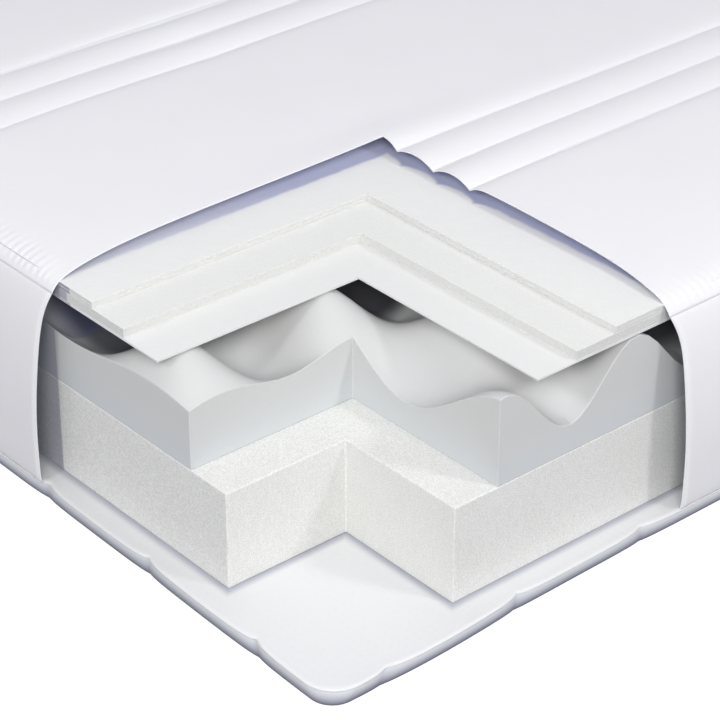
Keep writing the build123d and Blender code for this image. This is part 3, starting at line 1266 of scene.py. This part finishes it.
    def build_top(self) -> None:
        """Build the top panel as one sheet over its plan."""
        plan = self.seam_plan()
        xs, ys = self.panel_lines()
        flat_x, flat_y = np.meshgrid(xs, ys)
        x, y = plan.rounded(flat_x, flat_y)
        z = self.top_level(x, y)
        z -= 0.0004 * np.exp(-np.clip(plan.depth(x, y), 0, None) / 0.0015)
        from_x, from_y = flat_x - plan.cut_x, plan.cut_y - flat_y
        low_rows, right_columns = from_y > -1e-6, (from_x > -1e-6) & (from_y < 1e-6)
        reach_x, reach_y = (np.exp(np.minimum(away, 0.0) / 0.06) for away in (from_x, from_y))
        x = x + self.lean[0] * low_rows * self.leaning(flat_y + plan.half_y) * reach_x
        y = y - self.lean[1] * right_columns * self.leaning(plan.half_x - flat_x) * reach_y
        cells = kept_cells(plan.kept(xs, ys))
        used, fresh = np.unique(cells, return_inverse=True)
        points = np.stack([x, y, z], axis=-1).reshape(-1, 3)[used]
        cloth = np.stack([flat_x, flat_y], axis=-1).reshape(-1, 2)[used]
        piece = make_object("cover_top_cloth", points, fresh.reshape(cells.shape), cloth=cloth)
        self.clothe(piece, "cover_top_panel")
        size = (2 * plan.half_y + 0.03, 2 * plan.half_x + 0.03)
        size[0] * size[1] - (plan.half_x - plan.cut_x) * (plan.half_y + plan.cut_y)

    def border_points(self, levels: Array, outward: float = 0.0, gap: float = 0.008) -> Sides:
        """Places on the border.

        Args:
            levels: Their levels.
            outward: Distance to move them out from the cloth.
            gap: Distance between places round the mattress.
        Returns:
            The points, one row for each level, and the distance walked.
        """
        cut_x, cut_y = self.cut()
        low_lean = 0.0022 * smooth_step(levels, 0.05, 0.15)
        high_lean = np.clip((levels - 0.175) / (self.sizes.seam - 0.175), 0.0, 1.1) ** 2
        lean_x, lean_y = (low_lean + (lean - 0.0022) * high_lean for lean in self.lean)
        inset = self.border_inset(levels) - outward
        loop = Loop(self.sizes.half_x, self.sizes.half_y, self.radius)
        x, y, walked = loop.walk(inset, gap, cut_y - lean_y, cut_x + lean_x, 3.0)
        share = np.clip((levels - levels.min()) / max(np.ptp(levels), 1e-6), 0.0, 1.0)
        belly = 0.0012 * np.sin(math.pi * share)[:, None] * np.sin(2 * math.pi * walked / 0.41 + 1.0)[None, :]
        x, y = push_out(x, y, belly)
        z = np.broadcast_to(levels[:, None], x.shape)
        return np.stack([x, y, z], axis=-1), walked

    def build_border(self) -> None:
        """Build the border as one sheet round the mattress, between the base seam and the top seam."""
        low, high = self.sizes.lip + 0.0022, self.sizes.seam - 0.0004
        levels = graded(low, high, (low, high), 0.0012, 0.012, 0.12)
        points, walked = self.border_points(levels)
        rows, count = points.shape[:2]
        inward = 0.0005 * np.exp(-(high - levels) / 0.0015)
        middle = points.mean(axis=(0, 1))
        points[..., :2] -= inward[:, None, None] * np.sign(points[..., :2] - middle[:2])
        cloth = np.stack(np.broadcast_arrays(walked[None, :], levels[:, None]), axis=-1).reshape(-1, 2)
        piece = make_object("cover_border_cloth", points.reshape(-1, 3), grid_faces(rows, count), cloth=cloth)
        self.clothe(piece, "cover_border")

    def build_wadding(self) -> None:
        """Build the wadding: it fills the room under the top panel, and thins out before the cut."""
        plan = self.seam_plan()
        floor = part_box("top_backing")[1].z + 0.0001
        inner = Plan(self.sizes.foam_half_x, self.sizes.foam_half_y, 0.027, plan.cut_x - self.setback,
                     plan.cut_y + self.setback, 0.006, 0.02, 0.05)

        def top(x: Array, y: Array) -> Array:
            """Level under the cloth, brought down to the backing near the edges and before the cut."""
            room = self.top_level(x, y) - self.knit * 1.25 - 0.0006 - floor
            to_x, to_y, far = np.abs(x - inner.cut_x), np.abs(y - inner.cut_y), 10.0
            beside = np.minimum(to_x + far * (y > inner.cut_y), to_y + far * (x < inner.cut_x))
            open_side = (x > inner.cut_x) | (y < inner.cut_y)
            beyond = np.minimum(inner.depth(x, y), np.where(open_side, beside, np.hypot(to_x, to_y)))
            return floor + 0.0003 + np.clip(room, 0.0004, None) * smooth_step(beyond, -0.002, 0.05)

        piece = block("top_wadding_pad", inner, top, flat_at(floor))
        dress(piece, self.wadding_finish.make())
        settle(piece, Slot.WADDING, "top_wadding")

    def sew_seams(self, thread: bpy.types.Material) -> None:
        """Sew the top seam and the base seam round the mattress, with a thread."""
        row = Stitching()
        for name, node, level, outward in (("top_seam_stitches", "top_seam_thread", self.sizes.seam, -0.0004),
                                           ("base_seam_stitches", "base_seam_thread", self.sizes.lip + 0.0018, 0.0006)):
            points, _ = self.border_points(np.array([level, level + 0.0001]), outward)
            run = points[0]
            along = np.gradient(run, axis=0)
            normal = np.stack([along[:, 1], -along[:, 0], np.zeros(len(run))], axis=1)
            piece = row.sew(name, [(run, normal)])
            dress(piece, thread)
            settle(piece, Slot.THREAD, node)

    def sew_quilting(self, thread: bpy.types.Material) -> None:
        """Sew each group's three seams across the top panel, with a thread."""
        plan = self.seam_plan()
        places = self.seam_places().reshape(-1, 3)
        for number, group in enumerate(places, start=1):
            runs = []
            for x in group:
                start = plan.cut_y + 0.003 if x > plan.cut_x else 0.03 - plan.half_y
                y = np.arange(start, plan.half_y - 0.03, 0.004)
                z = self.top_level(np.full_like(y, x), y) + 0.0001
                run = np.stack([np.full_like(y, x), y, z], axis=1)
                slope = np.gradient(z, y)
                normal = np.stack([np.zeros_like(y), -slope, np.ones_like(y)], axis=1)
                runs.append((run, normal))
            piece = Stitching().sew(f"quilting_stitches_{number}", runs)
            dress(piece, thread)
            settle(piece, Slot.THREAD, f"quilting_seams_{number}")

    def build(self) -> None:
        """Build the cover."""
        thread = self.thread_finish.make()
        self.build_wadding()
        self.build_top()
        self.build_border()
        self.sew_seams(thread)
        self.sew_quilting(thread)


# ---------------------------------------------------------------- studio

@dataclass
class Studio:
    """Pale floor, soft lights and the camera."""

    target: tuple[float, float, float] = (0.68866, -0.44327, 0.120)
    azimuth: float = 49.47
    elevation: float = 30.80
    distance: float = 2.44424
    lens: float = 131.79
    floor_colour: Colour = (0.50, 0.50, 0.50)
    floor_glow: float = 0.85
    sky_colour: Colour = (0.92, 0.93, 1.0)
    sky_strength: float = 0.475
    ground_strength: float = 0.355

    def build_floor(self) -> None:
        """Build the floor: one wide flat square that glows, as a lit studio sweep does, and reflects no light up."""
        half = 30.0
        x, y = np.meshgrid(np.linspace(-half, half, 5), np.linspace(-half, half, 5))
        points = np.stack([x, y, np.full_like(x, -0.0002)], axis=-1).reshape(-1, 3)
        floor = make_object("studio_floor", points, grid_faces(5, 5))
        graph = Graph.material("studio floor")
        tone = graph.noise(2.0, 1.0)
        colour = graph.mix(tone * 0.04, self.floor_colour, (1.0, 1.0, 1.0))
        dress(floor, graph.finish(colour, 0.8, None, 0.0, glow=self.floor_glow))
        floor.visible_diffuse = False
        floor.visible_glossy = False

    def build_sky(self) -> None:
        """Light the world: one colour above the horizon and a weaker one below, with a smooth step between them."""
        world = bpy.data.worlds.new("studio")
        bpy.context.scene.world = world
        graph = Graph(world)
        high, low = (tuple(c * strength for c in self.sky_colour)
                     for strength in (self.sky_strength, self.ground_strength))
        rise = graph.axes(graph.coordinates("Generated"))[2]
        colour = graph.mix(rise.ramp(-0.25, 0.25), low, high)
        graph.output("ShaderNodeOutputWorld", graph.add("ShaderNodeBackground", {}, {"Color": colour, "Strength": 1.0}))

    def build_lights(self) -> None:
        """Hang four lights: a small one before each cut side, one overhead, and one by the camera's shoulder."""
        for name, place, size, power, colour in (
                ("left_light", (0.95, -2.8, 2.0), 0.4, 15.0, (1.0, 1.0, 1.0)),
                ("right_light", (3.0, 0.60, 2.0), 0.4, 20.0, (1.0, 1.0, 1.0)),
                ("top_light", (-0.6, 0.8, 4.2), 2.6, 19.0, (1.0, 0.99, 0.98)),
                ("fill_light", (3.4, -2.6, 2.6), 2.0, 107.0, (1.0, 1.0, 1.0))):
            light = bpy.data.lights.new(name, "AREA")
            light.energy = power
            light.size = size
            light.color = colour
            lamp = bpy.data.objects.new(name, light)
            lamp.location = place
            lamp.rotation_euler = (Vector((0.5, -0.3, 0.1)) - Vector(place)).to_track_quat("-Z", "Y").to_euler()
            bpy.context.scene.collection.objects.link(lamp)

    def build_camera(self) -> None:
        """Place the camera at its azimuth, elevation and distance from the target, and make it the scene's."""
        data = bpy.data.cameras.new("camera")
        data.lens = self.lens
        data.clip_end = 100.0
        camera = bpy.data.objects.new("camera", data)
        a, e = math.radians(self.azimuth), math.radians(self.elevation)
        back = Vector((math.sin(a) * math.cos(e), -math.cos(a) * math.cos(e), math.sin(e)))
        camera.location = Vector(self.target) + back * self.distance
        camera.rotation_euler = (-back).to_track_quat("-Z", "Y").to_euler()
        bpy.context.scene.collection.objects.link(camera)
        bpy.context.scene.camera = camera

    def build(self) -> None:
        """Build the studio."""
        bpy.context.scene.view_settings.view_transform = "Standard"
        self.build_floor()
        self.build_sky()
        self.build_lights()
        self.build_camera()


def main() -> None:
    """Build the mattress from the base up, then the studio round it."""
    logging.basicConfig(level=logging.INFO, format="%(name)s %(message)s")
    sizes = Sizes.read()
    for assembly in (BasePanel(sizes), FoamCore(sizes), ComfortLayers(sizes), Cover(sizes), Studio()):
        assembly.build()
        LOG.info("%s done", type(assembly).__name__)


if __name__ == "__main__":
    main()
